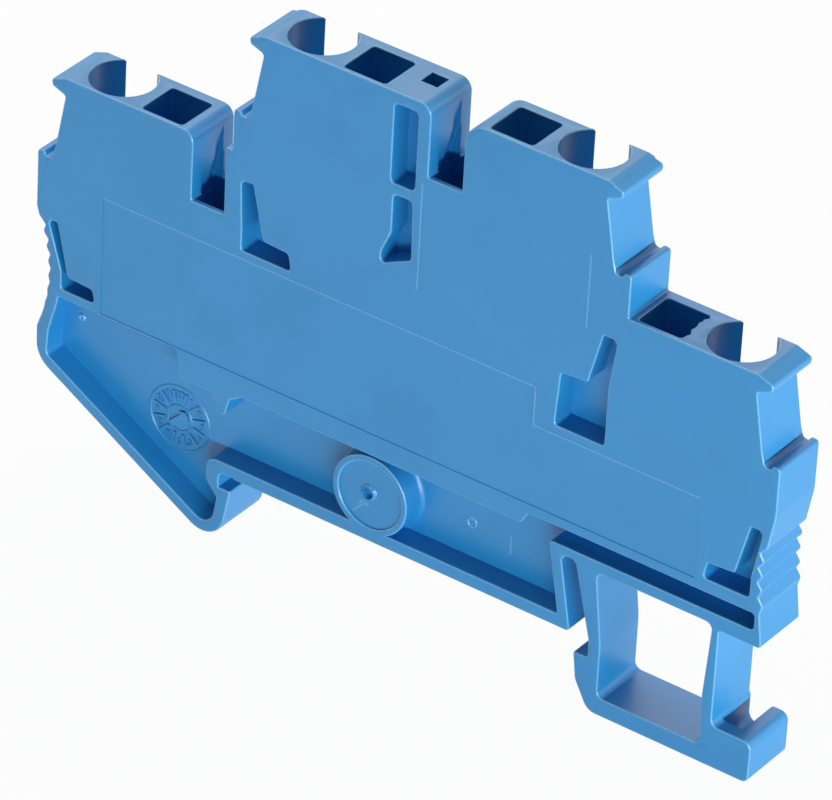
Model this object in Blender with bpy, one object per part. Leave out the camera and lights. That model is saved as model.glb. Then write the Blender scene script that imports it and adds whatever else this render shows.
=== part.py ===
"""Double level spring-cage terminal block for a 35 mm mounting rail.

Metres, Z up. X runs across the rail, with 0 in the middle of the rail, and Z = 0 is the seat on
the rail's top. Y is the thickness: the closed face looks to -Y, and the open side, which the next
block on the rail covers, looks to +Y.
"""
import math
from collections import namedtuple

import bmesh
import bpy
from mathutils import Vector

# Block
BLOCK_WIDTH = 0.0052
LOWER_TOP = 0.0295
UPPER_TOP = 0.0404
LEFT_REACH = 0.03585
FRONT_WALL = 0.0008
SHAFT_WALL = 0.0004
BACK_WALL = 0.0010
RECESS_DEPTH = 0.00205
WEB = 0.0010
RIM = 0.0010
RIB = 0.0010
EDGE_RADIUS = 0.00015
CORNER_RADIUS = 0.0003
ROOT_RADIUS = 0.0004

# Clearances, and how far a cut runs past the surface it starts from
PIECE_GAP = 0.0003
OVERCUT = 0.0010
ARC_SAG = 0.00001

# Rail
RAIL_WIDTH = 0.0350
RAIL_SHEET = 0.0010
RAIL_PLAY = 0.0003
CATCH_PLAY = 0.00055

# Towers, from the funnel's centre inward to the tower's end
LOWER_LEFT_SPAN = 0.00895
UPPER_LEFT_SPAN = 0.0121
UPPER_RIGHT_SPAN = 0.00945
LOWER_RIGHT_SPAN = 0.00815

# Bridge notches between the towers, and their lead-ins: front, back, drop of the top, depth
BRIDGE_SLOT = 0.0031
BRIDGE_INSET = 0.0001
LOWER_NOTCH = 0.0060
UPPER_NOTCH = 0.0062
SIDE_STEP = 0.0006
NOTCH_CORNER = 0.0010
WIDE_CORNER = 0.0018
LEAD_WIDE = (-0.00135, 0.00145, 0.0032, 0.0007)
LEAD_NARROW = (0.0003, 0.0013, 0.0010, 0.0009)

# Tower's outer side, outward from the funnel's centre and down from the top
SHOULDER_REACH = 0.00585
SHOULDER_DROP = 0.00725
GROOVE_OUTER = 0.0052
GROOVE_INNER = 0.0045
GROOVE_DROP = 0.0076
NECK_FOOT_REACH = 0.0042
NECK_FOOT_DROP = 0.0066
NECK_REACH = 0.0033
NECK_DROP = 0.00155
LIP_REACH = 0.0047
LIP_TIP_DROP = 0.0005
LIP_FOOT_DROP = 0.0011
LIP_START = 0.0033
LIP_STEP = 0.0039
LIP_STEP_HEIGHT = 0.00012

# Wire funnel
FUNNEL_RADIUS = 0.0027
FUNNEL_OFFSET = 0.00035
FUNNEL_STRAIGHT = 0.0040
THROAT_RADIUS = 0.0015
THROAT_OFFSET = 0.0002
THROAT_DROP = 0.0060

# Screwdriver shaft, inward from the funnel's centre
SHAFT_NEAR = 0.0037
SHAFT_FAR = 0.0076
SHAFT_BACK = 0.0017
SHAFT_TAPER = 0.0007

# Torn rim of the lower right shaft: its drop, and the tear's shares along the rim with its insets
TEAR_DROP = 0.0006
TEAR = (
    (0.14, 0.0), (0.22, -0.0002), (0.37, 0.00018), (0.47, 0.00009), (0.56, 0.00011),
    (0.65, 0.00026), (0.75, 0.00014), (0.82, 0.00025), (0.89, 0.0),
)

# Chamber of the clamp, and the channel of the bar between two chambers
CHAMBER_TOP = 0.0072
CHAMBER_KNEE = 0.0132
CHAMBER_BOTTOM = 0.0172
CHAMBER_OUTER = 0.0029
CHAMBER_KNEE_REACH = 0.00305
CHAMBER_FOOT_REACH = 0.0019
CHAMBER_INNER = 0.0072

# Strip parts in the chamber
STRIP_WIDTH = 0.0034
BAR = 0.0010
BAR_BEND = 0.0010
TAB_REACH = 0.0018
TAB_TOP = 0.0082
TAB_WIDTH = 0.0018
TAB_SHOULDER = 0.0102
BRIDGE_HOLE = (0.0020, 0.0016)
SPRING = 0.0004
SPRING_BEND = 0.0019
SPRING_FAR = 0.0066
SPRING_TOP = 0.0089
SPRING_END = 0.0106
SPRING_TIP = 0.00035
SPRING_TIP_DROP = 0.0007

# Corner pockets in the closed face, beside and below each chamber
POCKET_TOP = 0.0132
POCKET_NECK = 0.0038
POCKET_KNEE = 0.0027
POCKET_KNEE_DROP = 0.0178

# Pockets beside the upper bridge notch: width, rise of the floor, height of the neck
INNER_POCKET = (0.0022, 0.0013, 0.0030)
PROBE_HOLE = 0.0015

# Hook
HEEL_INSET = 0.00025
HEEL_HEIGHT = 0.0033
HEEL_RADIUS = 0.0025
SLANT = math.radians(30.05)
HOOK_OVERLAP = 0.00115
HOOK_LEAN = 0.18
HOOK_RADIUS = 0.0022
SLOT_WALL = 0.00125
SEAT_WALL = 0.00115
SEAT_RELIEF = 0.0001

# Sprung foot
SEAT_GAP = 0.00175
FOOT_SLOT_TOP = 0.0066
FOOT_SLOT_LEAN = 0.19
ARM_LEAN = 0.25
ARM_FOOT = 0.0011
ARM_TOP = 0.0019
ARM_ARC = 0.0080
CATCH_OVERLAP = 0.0013
FOOT_BOTTOM = 0.00635
FOOT_BASE = 0.0016
FOOT_BLOCK_TOP = -0.00265
FOOT_BLOCK_RADIUS = 0.0007
POST = 0.0009
POST_INSET = 0.0041
POST_ARC = 0.0060
BODY_BOTTOM = 0.00605
WINDOW_TOP = 0.0064
LEVER_WALL = 0.0012
LEVER_WIDTH = 0.0019
LEVER_DEPTH = 0.0022
LEVER_REACH = 0.0036

# Grips on the two ends: count, lowest and highest tip, hollow, tooth depth, tooth radius
Grip = namedtuple("Grip", "count low high hollow tooth radius")
LEFT_GRIP = Grip(9, 0.0061, 0.0163, 0.0010, 0.0002, 0.0003)
RIGHT_GRIP = Grip(5, 0.0098, 0.0150, 0.0002, 0.00045, 0.0003)
GRIP_INSET = 0.0005
GRIP_MARGIN = 0.0008
GRIP_SHOULDER = 0.0030
GRIP_ARC = 0.0040

# Recess in the lower half of the closed face
LEFT_LEDGE = 0.0096
MIDDLE_LEDGE = 0.0078
TAB_LEDGE = 0.0071
TAB_TIP = 0.0055
CHANNEL_LOW = 0.0074
CHANNEL_HIGH = 0.0089
BACK_LEDGE = 0.0112
LEDGE_STEP = 0.0049
CHANNEL_STEP = 0.0035
BOSS_X = -0.0032
BOSS_Z = 0.00415
BOSS_RADIUS = 0.0035
BOSS_FILLET = 0.0004
BOSS_DISC = 0.00295
BOSS_DISC_DEPTH = 0.0002

# Shallow panel of the closed face: a wide part, and a lower marker part to its right
PANEL_DEPTH = 0.00006
PANEL_TOP = 0.0202
PANEL_LEFT_INSET = 0.0006
PANEL_STEP = 0.00195
MARKER_TOP = 0.0168
MARKER_INSET = 0.0007

# Cells in the open side between the two levels
CELL_COUNT = 4
CELL_TOP = 0.0200

# Colours: base colour, metallic, roughness
BLUE_POLYAMIDE = ((0.048, 0.254, 0.539, 1.0), 0.0, 0.45)
TINNED_COPPER = ((0.62, 0.60, 0.56, 1.0), 1.0, 0.35)
SPRING_STEEL = ((0.56, 0.57, 0.58, 1.0), 1.0, 0.28)

# Places that follow from the sizes above
HALF = BLOCK_WIDTH / 2
RAIL_HALF = RAIL_WIDTH / 2
LOWER_LEFT_X = -LEFT_REACH + SHOULDER_REACH
NOTCH_LEFT = LOWER_LEFT_X + LOWER_LEFT_SPAN
NOTCH_LEFT_END = NOTCH_LEFT + BRIDGE_SLOT
UPPER_LEFT_X = NOTCH_LEFT_END + SIDE_STEP + SHOULDER_REACH
NOTCH_RIGHT = UPPER_LEFT_X + UPPER_LEFT_SPAN
NOTCH_RIGHT_END = NOTCH_RIGHT + BRIDGE_SLOT
UPPER_RIGHT_X = NOTCH_RIGHT_END + UPPER_RIGHT_SPAN
STEP_X = UPPER_RIGHT_X + SHOULDER_REACH
LOWER_RIGHT_X = STEP_X + LOWER_RIGHT_SPAN
RIGHT_REACH = LOWER_RIGHT_X + SHOULDER_REACH
POST_REACH = RIGHT_REACH - POST_INSET
FOOT_END = POST_REACH + LEVER_REACH
HEEL_X = -LEFT_REACH + HEEL_INSET
SEAT_END = RAIL_HALF - SEAT_GAP
HOOK_TOP = -(RAIL_SHEET + RAIL_PLAY)
CATCH_TOP = -(RAIL_SHEET + CATCH_PLAY)
CAVITY_FRONT = -HALF + FRONT_WALL
STRIP_FRONT = CAVITY_FRONT + PIECE_GAP
STRIP_MIDDLE = STRIP_FRONT + STRIP_WIDTH / 2
BAR_DROP = CHAMBER_BOTTOM - PIECE_GAP - BAR / 2
CHANNEL_TOP = BAR_DROP - BAR / 2 - PIECE_GAP
RECESS_FLOOR = -HALF + RECESS_DEPTH

# side is the way from the funnel to the tower's outer side; pocket gives the corner pocket's
# reach at its top and at its bottom, and the drop of its bottom
Clamp = namedtuple("Clamp", "name centre side top pocket")
LOWER_LEFT = Clamp("lower_left", LOWER_LEFT_X, -1, LOWER_TOP, (0.0046, 0.0033, 0.0191))
UPPER_LEFT = Clamp("upper_left", UPPER_LEFT_X, -1, UPPER_TOP, (0.0049, 0.0047, 0.0194))
UPPER_RIGHT = Clamp("upper_right", UPPER_RIGHT_X, 1, UPPER_TOP, (0.0050, 0.0045, 0.0227))
LOWER_RIGHT = Clamp("lower_right", LOWER_RIGHT_X, 1, LOWER_TOP, (0.0048, 0.0041, 0.0194))
CLAMPS = (LOWER_LEFT, UPPER_LEFT, UPPER_RIGHT, LOWER_RIGHT)


def at(clamp, out, drop, radius=0.0):
    """Corner at a reach outward from the clamp's funnel and a drop from its tower's top."""
    return (clamp.centre + clamp.side * out, clamp.top - drop, radius)


def rounded(corners, closed=True):
    """Outline of corners (x, z, radius), each turned into an arc that its two edges have room for."""
    points = []
    count = len(corners)
    for i, (x, z, radius) in enumerate(corners):
        corner = Vector((x, z))
        before = Vector(corners[i - 1][:2]) - corner
        after = Vector(corners[(i + 1) % count][:2]) - corner
        is_end = not closed and i in (0, count - 1)
        if radius <= 0 or is_end or before.angle(after) > math.radians(178):
            points.append(corner)
            continue
        half = before.angle(after) / 2
        reach = min(radius / math.tan(half), 0.499 * before.length, 0.499 * after.length)
        radius = reach * math.tan(half)
        middle = (before.normalized() + after.normalized()).normalized() * radius / math.sin(half)
        first = before.normalized() * reach - middle
        last = after.normalized() * reach - middle
        turn = math.atan2(first.x * last.y - first.y * last.x, first.dot(last))
        steps = max(2, math.ceil(abs(turn) / (2 * math.acos(1 - min(0.5, ARC_SAG / radius)))))
        for step in range(steps + 1):
            angle = turn * step / steps
            spoke = Vector((first.x * math.cos(angle) - first.y * math.sin(angle),
                            first.x * math.sin(angle) + first.y * math.cos(angle)))
            points.append(corner + middle + spoke)
    return points


def circle(x, z, radius):
    """Outline of a round."""
    count = math.ceil(math.pi / math.acos(1 - ARC_SAG / radius))
    turns = [math.tau * i / count for i in range(count)]
    return [Vector((x + radius * math.cos(turn), z + radius * math.sin(turn))) for turn in turns]


def loft(name, rings):
    """Closed solid through rings of points, with flat ends."""
    mesh = bpy.data.meshes.new(name)
    bm = bmesh.new()
    loops = [[bm.verts.new(point) for point in ring] for ring in rings]
    for low, high in zip(loops, loops[1:]):
        for i in range(len(low)):
            bm.faces.new((low[i - 1], low[i], high[i], high[i - 1]))
    bm.faces.new(loops[0])
    bm.faces.new(loops[-1])
    bmesh.ops.recalc_face_normals(bm, faces=bm.faces)
    bm.to_mesh(mesh)
    bm.free()
    return bpy.data.objects.new(name, mesh)


def prism(name, outline, front, back):
    """Solid of one outline in X and Z between two depths in Y."""
    return loft(name, [[(p.x, depth, p.y) for p in outline] for depth in (front, back)])


def box(name, low, high):
    """Box between two corners."""
    corners = [(low[0], low[2]), (high[0], low[2]), (high[0], high[2]), (low[0], high[2])]
    return prism(name, [Vector(corner) for corner in corners], low[1], high[1])


def plan_ring(low, high, z, radius, tear):
    """Level ring with rounded corners between two corners in X and Y, torn on its side at high X."""
    corners = [(low[0], low[1], radius), (high[0], low[1], radius),
               (high[0], high[1], radius), (low[0], high[1], radius)]
    ring = [(p.x, p.y, z) for p in rounded(corners)]
    torn = [(high[0] - inset, low[1] + share * (high[1] - low[1]), z) for share, inset in tear]
    half = len(ring) // 2
    return ring[:half] + torn + ring[half:]


def strip(name, path, thickness):
    """Strip of sheet bent along a path in X and Z, as wide as every strip part."""
    line = rounded(path, closed=False)
    left = []
    right = []
    for i, point in enumerate(line):
        way_in = (point - line[i - 1]).normalized() if i else (line[1] - point).normalized()
        way_out = (line[i + 1] - point).normalized() if i < len(line) - 1 else way_in
        across = Vector((-(way_in.y + way_out.y), way_in.x + way_out.x)).normalized()
        across *= thickness / 2 / across.dot(Vector((-way_in.y, way_in.x)))
        left.append(point + across)
        right.append(point - across)
    return prism(name, left + right[::-1], STRIP_FRONT, STRIP_FRONT + STRIP_WIDTH)


def finish(piece, cutters, colour):
    """Link a piece, cut it with its cutters and give it its material."""
    bpy.context.scene.collection.objects.link(piece)
    if cutters:
        cut(piece, cutters, "cuts")
    base, metallic, roughness = colour
    material = bpy.data.materials.new(piece.name)
    material.use_nodes = True
    shader = material.node_tree.nodes["Principled BSDF"]
    shader.inputs["Base Color"].default_value = base
    shader.inputs["Metallic"].default_value = metallic
    shader.inputs["Roughness"].default_value = roughness
    piece.data.materials.append(material)
    piece.data.shade_smooth()
    piece.data.set_sharp_from_angle(angle=math.radians(30))


def cut(piece, cutters, label):
    """Take cutters away from a piece, and show them as wires only."""
    group = bpy.data.collections.new(f"{piece.name}_{label}")
    bpy.context.scene.collection.children.link(group)
    for cutter in cutters:
        group.objects.link(cutter)
        cutter.hide_render = True
        cutter.display_type = "WIRE"
    boolean = piece.modifiers.new(label, "BOOLEAN")
    boolean.operation = "DIFFERENCE"
    boolean.solver = "EXACT"
    boolean.operand_type = "COLLECTION"
    boolean.collection = group


def tower_side(clamp):
    """Outer side of a clamp tower, from the shoulder up: groove, neck and marker lip."""
    side = [
        at(clamp, SHOULDER_REACH, SHOULDER_DROP, CORNER_RADIUS),
        at(clamp, GROOVE_OUTER, SHOULDER_DROP, EDGE_RADIUS),
        at(clamp, GROOVE_OUTER - EDGE_RADIUS, GROOVE_DROP, EDGE_RADIUS),
        at(clamp, GROOVE_INNER, GROOVE_DROP, ROOT_RADIUS),
        at(clamp, NECK_FOOT_REACH, NECK_FOOT_DROP, CORNER_RADIUS),
        at(clamp, NECK_REACH, NECK_DROP, CORNER_RADIUS),
        at(clamp, LIP_REACH - EDGE_RADIUS, LIP_FOOT_DROP, EDGE_RADIUS),
        at(clamp, LIP_REACH, LIP_TIP_DROP, CORNER_RADIUS),
    ]
    if clamp.top == UPPER_TOP:
        drop = LIP_TIP_DROP * (LIP_STEP - LIP_START) / (LIP_REACH - LIP_START)
        side.append(at(clamp, LIP_STEP, drop + LIP_STEP_HEIGHT / 2))
        side.append(at(clamp, LIP_STEP - LIP_STEP_HEIGHT / 2, drop - LIP_STEP_HEIGHT / 2))
    return side + [at(clamp, LIP_START, 0, CORNER_RADIUS)]


def grip(x, side, teeth):
    """Toothed finger grip from its lowest tip up, its tips on a shallow hollow."""
    pitch = (teeth.high - teeth.low) / (teeth.count - 1)
    points = []
    for i in range(teeth.count):
        share = i / (teeth.count - 1)
        tip = x - side * 4 * teeth.hollow * share * (1 - share)
        points.append((tip, teeth.low + i * pitch, teeth.radius))
        if i < teeth.count - 1:
            root = teeth.low + (i + 0.5) * pitch
            points.append((tip - side * teeth.tooth, root, teeth.radius / 3))
    return points


def slant_corner(inset):
    """Where the slanted under-edge meets the hook's face, both moved inward by the inset."""
    tip = -RAIL_HALF + HOOK_OVERLAP - inset * math.hypot(1, HOOK_LEAN)
    height = HEEL_HEIGHT + inset / math.cos(SLANT)
    run = tip - HEEL_X + HOOK_LEAN * (height - HOOK_TOP)
    run /= math.cos(SLANT) + HOOK_LEAN * math.sin(SLANT)
    return (HEEL_X + run * math.cos(SLANT), height - run * math.sin(SLANT), HOOK_RADIUS - inset)


def slot_left(z):
    """X of the foot slot's left side at a height."""
    return SEAT_END - FOOT_SLOT_LEAN * z


def arm_left(z):
    """X of the foot arm's left side at a height."""
    return RAIL_HALF - ARM_LEAN * max(z, 0)


def hook_outline():
    """Slanted under-edge, rail hook, relief over the hook's tip, and seat."""
    tip = -RAIL_HALF + HOOK_OVERLAP
    return [
        (HEEL_X, HEEL_HEIGHT, HEEL_RADIUS),
        slant_corner(0),
        (tip, HOOK_TOP, EDGE_RADIUS),
        (-RAIL_HALF, HOOK_TOP, 0),
        (-RAIL_HALF, SEAT_RELIEF, 2 * CORNER_RADIUS),
        (tip + PIECE_GAP, SEAT_RELIEF, 0),
        (tip + PIECE_GAP, 0, 0),
        (SEAT_END, 0, CORNER_RADIUS),
    ]


def foot_outline():
    """Slot beside the foot's arm, catch, base, lever end and post."""
    catch = RAIL_HALF - CATCH_OVERLAP
    return [
        (slot_left(FOOT_SLOT_TOP), FOOT_SLOT_TOP, 2 * CORNER_RADIUS),
        (arm_left(FOOT_SLOT_TOP), FOOT_SLOT_TOP, 2 * CORNER_RADIUS),
        (RAIL_HALF, 0, CORNER_RADIUS),
        (RAIL_HALF, CATCH_TOP, EDGE_RADIUS),
        (catch, CATCH_TOP, EDGE_RADIUS),
        (catch + CORNER_RADIUS, (CATCH_TOP - FOOT_BOTTOM) / 2, CATCH_OVERLAP),
        (RAIL_HALF + CORNER_RADIUS, -FOOT_BOTTOM, 4 * CORNER_RADIUS),
        (FOOT_END, -FOOT_BOTTOM, 2 * CORNER_RADIUS),
        (FOOT_END, FOOT_BLOCK_TOP, FOOT_BLOCK_RADIUS),
        (POST_REACH, FOOT_BLOCK_TOP, 2 * CORNER_RADIUS),
        (POST_REACH, BODY_BOTTOM, CORNER_RADIUS),
        (RIGHT_REACH - GRIP_INSET + EDGE_RADIUS, BODY_BOTTOM, CORNER_RADIUS),
    ]


def housing_outline():
    """Whole outline of the block, against the clock as the closed face shows it."""
    right_grip = grip(RIGHT_REACH - GRIP_INSET, 1, RIGHT_GRIP)
    left_grip = grip(HEEL_X, -1, LEFT_GRIP)
    right_root = RIGHT_REACH - GRIP_INSET - RIGHT_GRIP.tooth / 2
    corners = hook_outline() + foot_outline()
    corners += [(right_root, RIGHT_GRIP.low - GRIP_MARGIN, 0)] + right_grip
    corners += [(RIGHT_REACH, RIGHT_GRIP.high + GRIP_SHOULDER, GRIP_ARC)] + tower_side(LOWER_RIGHT)
    corners += [(STEP_X, LOWER_TOP, EDGE_RADIUS)] + tower_side(UPPER_RIGHT)
    corners += [
        (NOTCH_RIGHT_END, UPPER_TOP, WIDE_CORNER),
        (NOTCH_RIGHT_END, UPPER_TOP - UPPER_NOTCH, EDGE_RADIUS),
        (NOTCH_RIGHT, UPPER_TOP - UPPER_NOTCH, EDGE_RADIUS),
        (NOTCH_RIGHT, UPPER_TOP, NOTCH_CORNER),
    ]
    corners += tower_side(UPPER_LEFT)[::-1]
    corners += [
        (NOTCH_LEFT_END + SIDE_STEP, LOWER_TOP, EDGE_RADIUS),
        (NOTCH_LEFT_END, LOWER_TOP, EDGE_RADIUS),
        (NOTCH_LEFT_END, LOWER_TOP - LOWER_NOTCH, EDGE_RADIUS),
        (NOTCH_LEFT, LOWER_TOP - LOWER_NOTCH, EDGE_RADIUS),
        (NOTCH_LEFT, LOWER_TOP, NOTCH_CORNER),
    ]
    corners += tower_side(LOWER_LEFT)[::-1]
    corners += [(-LEFT_REACH, LEFT_GRIP.high + GRIP_MARGIN, EDGE_RADIUS)] + left_grip[::-1]
    return rounded(corners)


def base_recess(ledge):
    """Outline of the recess in the block's lower half, under the given upper edge."""
    rim_x = HEEL_X + RIM
    rim_z = HEEL_HEIGHT - RIM * math.tan(SLANT) + RIM / math.cos(SLANT)
    hollow = rim_x + LEFT_GRIP.hollow
    grip_middle = (LEFT_GRIP.low + LEFT_GRIP.high) / 2
    hook_top = HOOK_TOP - RIM
    hook_side = -RAIL_HALF - SLOT_WALL
    return rounded([
        (rim_x, rim_z, 2 * CORNER_RADIUS),
        slant_corner(RIM),
        (-RAIL_HALF - EDGE_RADIUS, hook_top, CORNER_RADIUS),
        (hook_side, HOOK_TOP + CORNER_RADIUS, 2 * CORNER_RADIUS),
        (hook_side, SEAT_WALL, SLOT_WALL),
        (slot_left(SEAT_WALL) - RIM, SEAT_WALL, EDGE_RADIUS),
        (slot_left(CHANNEL_LOW) - RIM, CHANNEL_LOW, CORNER_RADIUS),
    ] + ledge + [
        (hollow, grip_middle - 2 * RIM, RIM),
        (rim_x + EDGE_RADIUS, LEFT_GRIP.low, RIM),
    ])


def front_ledge():
    """Upper edge of the recess in the closed face, from the right end of its channel."""
    channel_end = RIGHT_REACH - RIM - EDGE_RADIUS
    tab_x = -RAIL_HALF + SLOT_WALL / 2
    step_x = tab_x - LEDGE_STEP
    middle = slot_left(MIDDLE_LEDGE) - CHANNEL_STEP
    return [
        (channel_end, CHANNEL_LOW, CORNER_RADIUS),
        (channel_end, CHANNEL_HIGH, CORNER_RADIUS),
        (middle + 2 * CORNER_RADIUS, CHANNEL_HIGH, ROOT_RADIUS),
        (middle, MIDDLE_LEDGE, ROOT_RADIUS),
        (tab_x + SLOT_WALL, MIDDLE_LEDGE, ROOT_RADIUS),
        (tab_x + EDGE_RADIUS, TAB_LEDGE, CORNER_RADIUS),
        (tab_x - CORNER_RADIUS, TAB_TIP, CORNER_RADIUS),
        (tab_x - RIM, TAB_TIP, EDGE_RADIUS),
        (tab_x - 1.5 * RIM, TAB_LEDGE, CORNER_RADIUS),
        (step_x, TAB_LEDGE, CORNER_RADIUS),
        (step_x - EDGE_RADIUS, LEFT_LEDGE, CORNER_RADIUS),
        (HEEL_X + 2 * RIM, LEFT_LEDGE, CORNER_RADIUS),
    ]


def back_ledge():
    """Upper edge of the recess in the open side."""
    end = RIGHT_REACH - GRIP_INSET - RIM
    return [
        (end, CHANNEL_LOW, CORNER_RADIUS),
        (end, BACK_LEDGE, CORNER_RADIUS),
        (HEEL_X + 2 * RIM + EDGE_RADIUS, BACK_LEDGE, CORNER_RADIUS),
    ]


def recess_cutters():
    """Recesses of the lower half in both faces, with the boss left standing in the front one."""
    front = prism("front_recess", base_recess(front_ledge()), -HALF - OVERCUT, RECESS_FLOOR)
    cut(front, [boss()], "boss")
    back = prism("back_recess", base_recess(back_ledge()), RECESS_FLOOR + WEB, HALF + OVERCUT)
    disc = prism("boss_disc", circle(BOSS_X, BOSS_Z, BOSS_DISC), -HALF - OVERCUT, -HALF + BOSS_DISC_DEPTH)
    return [front, back, disc]


def boss():
    """Round boss with a fillet at its foot on the recess floor."""
    levels = [(-HALF - 2 * OVERCUT, BOSS_RADIUS)]
    for degrees in (0, 30, 60, 90):
        turn = math.radians(degrees)
        depth = RECESS_FLOOR - BOSS_FILLET * (1 - math.sin(turn))
        levels.append((depth, BOSS_RADIUS + BOSS_FILLET * (1 - math.cos(turn))))
    levels.append((RECESS_FLOOR + OVERCUT, BOSS_RADIUS + BOSS_FILLET))
    rings = []
    for depth, radius in levels:
        spokes = [p * radius / BOSS_RADIUS for p in circle(0, 0, BOSS_RADIUS)]
        rings.append([(BOSS_X + spoke.x, depth, BOSS_Z + spoke.y) for spoke in spokes])
    return loft("boss", rings)


def foot_cutters():
    """Window of the foot's frame, and the pocket that a screwdriver levers in."""
    bottom = -FOOT_BOTTOM + FOOT_BASE
    right = POST_REACH - POST
    window = rounded([
        (RAIL_HALF + ARM_FOOT, bottom, 2 * CORNER_RADIUS),
        (right, bottom, 2 * CORNER_RADIUS),
        (right - EDGE_RADIUS, -PIECE_GAP, POST_ARC),
        (right + CORNER_RADIUS, WINDOW_TOP, 2 * CORNER_RADIUS),
        (arm_left(WINDOW_TOP) + ARM_TOP, WINDOW_TOP, 2 * CORNER_RADIUS),
        (RAIL_HALF + ARM_FOOT, 0, ARM_ARC),
    ])
    near = POST_REACH + EDGE_RADIUS
    far = POST_REACH + LEVER_WIDTH
    pocket = rounded([
        (near, FOOT_BLOCK_TOP - LEVER_DEPTH, LEVER_WIDTH / 2),
        (far, FOOT_BLOCK_TOP - LEVER_DEPTH, LEVER_WIDTH / 2),
        (far, FOOT_BLOCK_TOP - CORNER_RADIUS, CORNER_RADIUS),
        (far + CORNER_RADIUS + OVERCUT, FOOT_BLOCK_TOP + OVERCUT, 0),
        (near, FOOT_BLOCK_TOP + OVERCUT, 0),
    ])
    return [
        prism("foot_window", window, -HALF - OVERCUT, HALF + OVERCUT),
        prism("lever_pocket", pocket, -HALF + LEVER_WALL, HALF + OVERCUT),
    ]


def level_cavity(name, left, right):
    """Two clamp chambers and the channel between them, open to the back."""
    outline = rounded([
        at(left, CHAMBER_FOOT_REACH, CHAMBER_BOTTOM, CORNER_RADIUS),
        at(right, CHAMBER_FOOT_REACH, CHAMBER_BOTTOM, CORNER_RADIUS),
        at(right, CHAMBER_KNEE_REACH, CHAMBER_KNEE, CORNER_RADIUS),
        at(right, CHAMBER_OUTER, CHAMBER_TOP, CORNER_RADIUS),
        at(right, -CHAMBER_INNER, CHAMBER_TOP, CORNER_RADIUS),
        at(right, -CHAMBER_INNER, CHANNEL_TOP, EDGE_RADIUS),
        at(left, -CHAMBER_INNER, CHANNEL_TOP, EDGE_RADIUS),
        at(left, -CHAMBER_INNER, CHAMBER_TOP, CORNER_RADIUS),
        at(left, CHAMBER_OUTER, CHAMBER_TOP, CORNER_RADIUS),
        at(left, CHAMBER_KNEE_REACH, CHAMBER_KNEE, CORNER_RADIUS),
    ])
    return prism(name, outline, CAVITY_FRONT, HALF + OVERCUT)


def funnel(clamp):
    """Wire funnel: straight, then a cone down to the throat in the chamber's roof."""
    levels = (
        (-OVERCUT, FUNNEL_RADIUS, FUNNEL_OFFSET),
        (FUNNEL_STRAIGHT, FUNNEL_RADIUS, FUNNEL_OFFSET),
        (THROAT_DROP, THROAT_RADIUS, THROAT_OFFSET),
        (CHAMBER_TOP + CORNER_RADIUS, THROAT_RADIUS, THROAT_OFFSET),
    )
    count = len(circle(0, 0, FUNNEL_RADIUS))
    rings = []
    for drop, radius, offset in levels:
        turns = [math.tau * i / count for i in range(count)]
        rings.append([(clamp.centre + radius * math.cos(turn), offset + radius * math.sin(turn),
                       clamp.top - drop) for turn in turns])
    return loft(clamp.name + "_funnel", rings)


def driver_shaft(clamp, tear=()):
    """Tapered shaft for the screwdriver that opens the clamp, its rim torn where a tear is given."""
    bottom = CHAMBER_TOP + CORNER_RADIUS
    whole = [(share, 0) for share, _ in tear]
    rings = []
    for drop, rim in ((-OVERCUT, tear), (0, tear), (TEAR_DROP, whole), (bottom, whole)):
        taper = SHAFT_TAPER * max(drop, 0) / bottom
        near, z, _ = at(clamp, -SHAFT_NEAR, drop)
        far = at(clamp, taper - SHAFT_FAR, drop)[0]
        low = (min(near, far), -HALF + SHAFT_WALL + taper * FRONT_WALL / 2 / SHAFT_TAPER)
        high = (max(near, far), SHAFT_BACK - taper / 4)
        rings.append(plan_ring(low, high, z, CORNER_RADIUS, rim))
    return loft(clamp.name + "_driver_shaft", rings)


def corner_pocket(clamp):
    """Pocket in the closed face that runs down beside the chamber and turns in under it."""
    top_reach, low_reach, bottom = clamp.pocket
    outline = rounded([
        at(clamp, POCKET_NECK, POCKET_TOP, CORNER_RADIUS / 2),
        at(clamp, POCKET_KNEE, POCKET_KNEE_DROP, CORNER_RADIUS),
        at(clamp, CORNER_RADIUS, POCKET_KNEE_DROP + EDGE_RADIUS, CORNER_RADIUS),
        at(clamp, 0, bottom, CORNER_RADIUS),
        at(clamp, low_reach, bottom, CORNER_RADIUS),
        at(clamp, low_reach, POCKET_KNEE_DROP - CORNER_RADIUS, RIM),
        at(clamp, top_reach, POCKET_TOP + CORNER_RADIUS, CORNER_RADIUS),
        at(clamp, top_reach - CORNER_RADIUS, POCKET_TOP, EDGE_RADIUS),
    ])
    return prism(clamp.name + "_pocket", outline, -HALF - OVERCUT, RECESS_FLOOR)


def bridge_cutters(name, clamp, left, bottom):
    """Bridge shaft from a notch down to the bar, and the lead-ins in the notch's left wall."""
    channel = clamp.top - CHANNEL_TOP
    low = (left + BRIDGE_INSET, -HALF + SHAFT_WALL, channel - PIECE_GAP)
    high = (left + BRIDGE_SLOT - BRIDGE_INSET, HALF - BACK_WALL, bottom + OVERCUT)
    cutters = [box(name + "_shaft", low, high)]
    for label, lead, foot in (("wide", LEAD_WIDE, low[2]), ("narrow", LEAD_NARROW, bottom - RIM)):
        front, back, start, depth = lead
        slope = depth / (clamp.top - start - bottom)
        ramp = [(left - depth, foot), (left + OVERCUT, foot),
                (left + OVERCUT, clamp.top - start + OVERCUT / slope), (left - depth, bottom)]
        outline = [Vector(point) for point in ramp]
        cutters.append(prism(f"{name}_{label}_lead", outline, front, back))
    return cutters


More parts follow.
